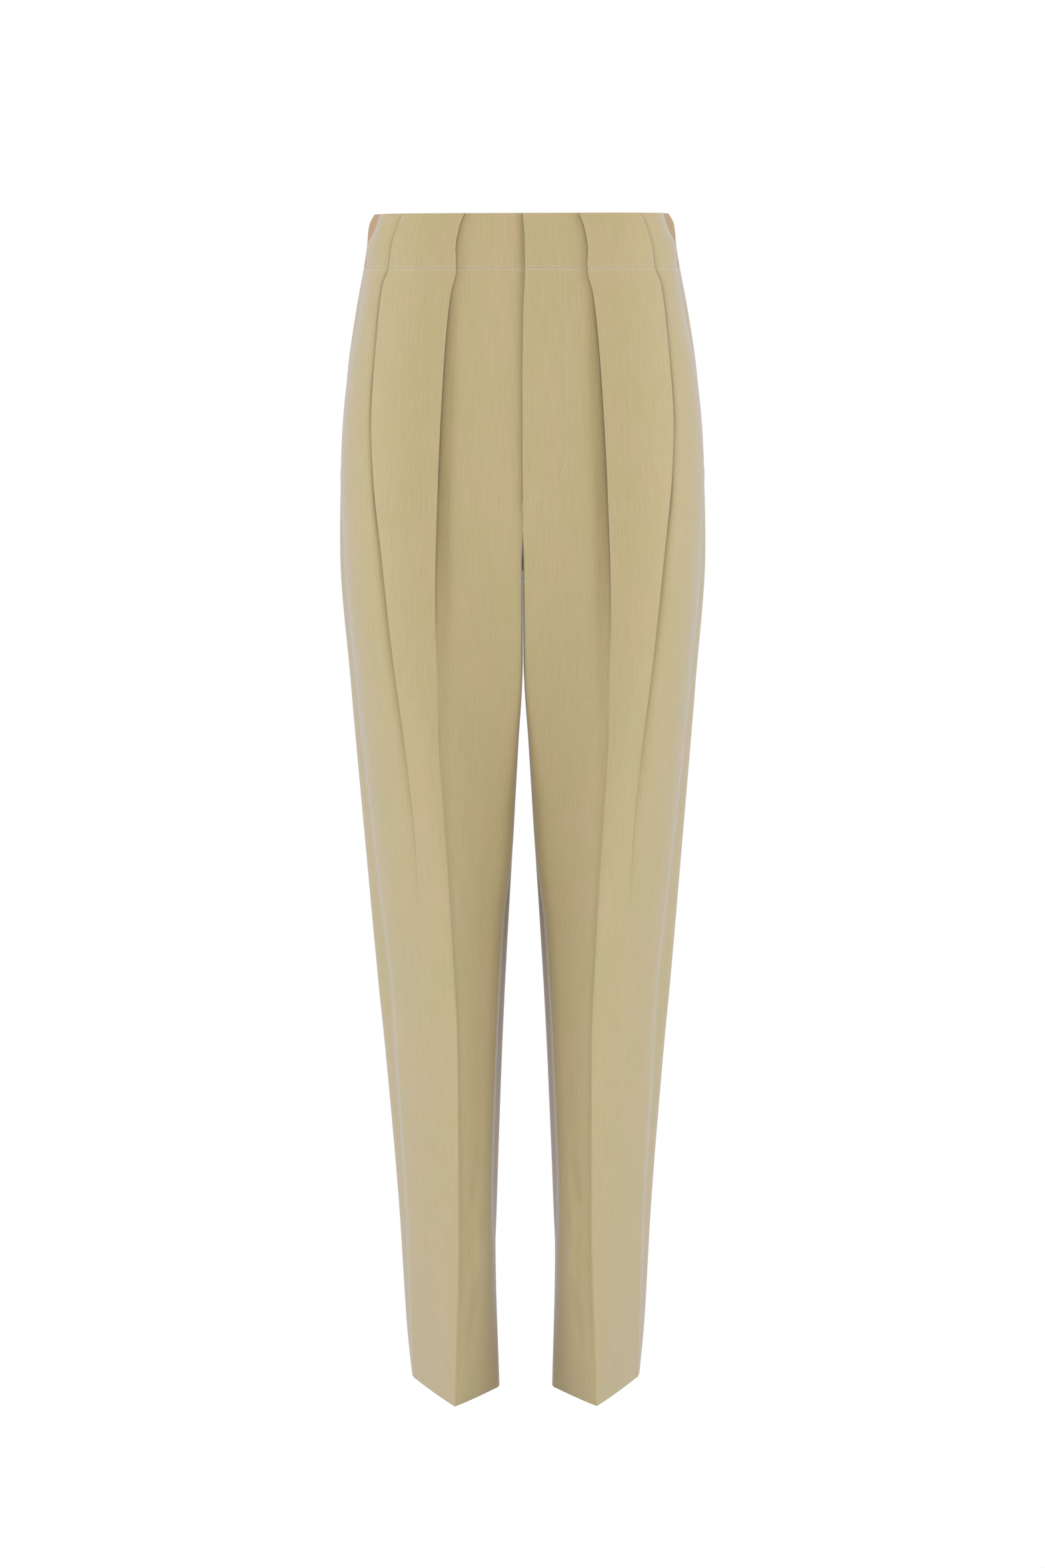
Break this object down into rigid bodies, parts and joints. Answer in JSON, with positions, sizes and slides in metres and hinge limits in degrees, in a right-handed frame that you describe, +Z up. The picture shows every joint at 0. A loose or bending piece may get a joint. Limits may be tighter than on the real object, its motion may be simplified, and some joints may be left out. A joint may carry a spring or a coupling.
{
  "type": "tailored trousers",
  "caption": "High-waisted pleated trousers with pressed creases and tapered legs, in a fine wool cloth, filled out as worn.",
  "frame": {"origin": "the middle of the waist opening, level with the waistband's top edge, where the wearer holds it up", "axes": "+Z up, -Y out of the front, +X to the wearer's left"},
  "size_m": [0.331, 0.2449, 1.073],
  "materials": {
    "cloth": "fine worsted wool twill, sand to olive, softly lustrous",
    "waistband": "the same cloth, turned over at the waist edge",
    "strips": "the same cloth, behind the fly and the pocket mouths"
  },
  "bodies": {
    "root": {"front_left": "cloth", "front_right": "cloth", "back_left": "cloth", "back_right": "cloth", "waistband_front_left": "waistband", "waistband_front_right": "waistband", "waistband_back_left": "waistband", "waistband_back_right": "waistband", "fly_shield": "strips", "pocket_facing_left": "strips", "pocket_facing_right": "strips"}
  },
  "joints": []
}
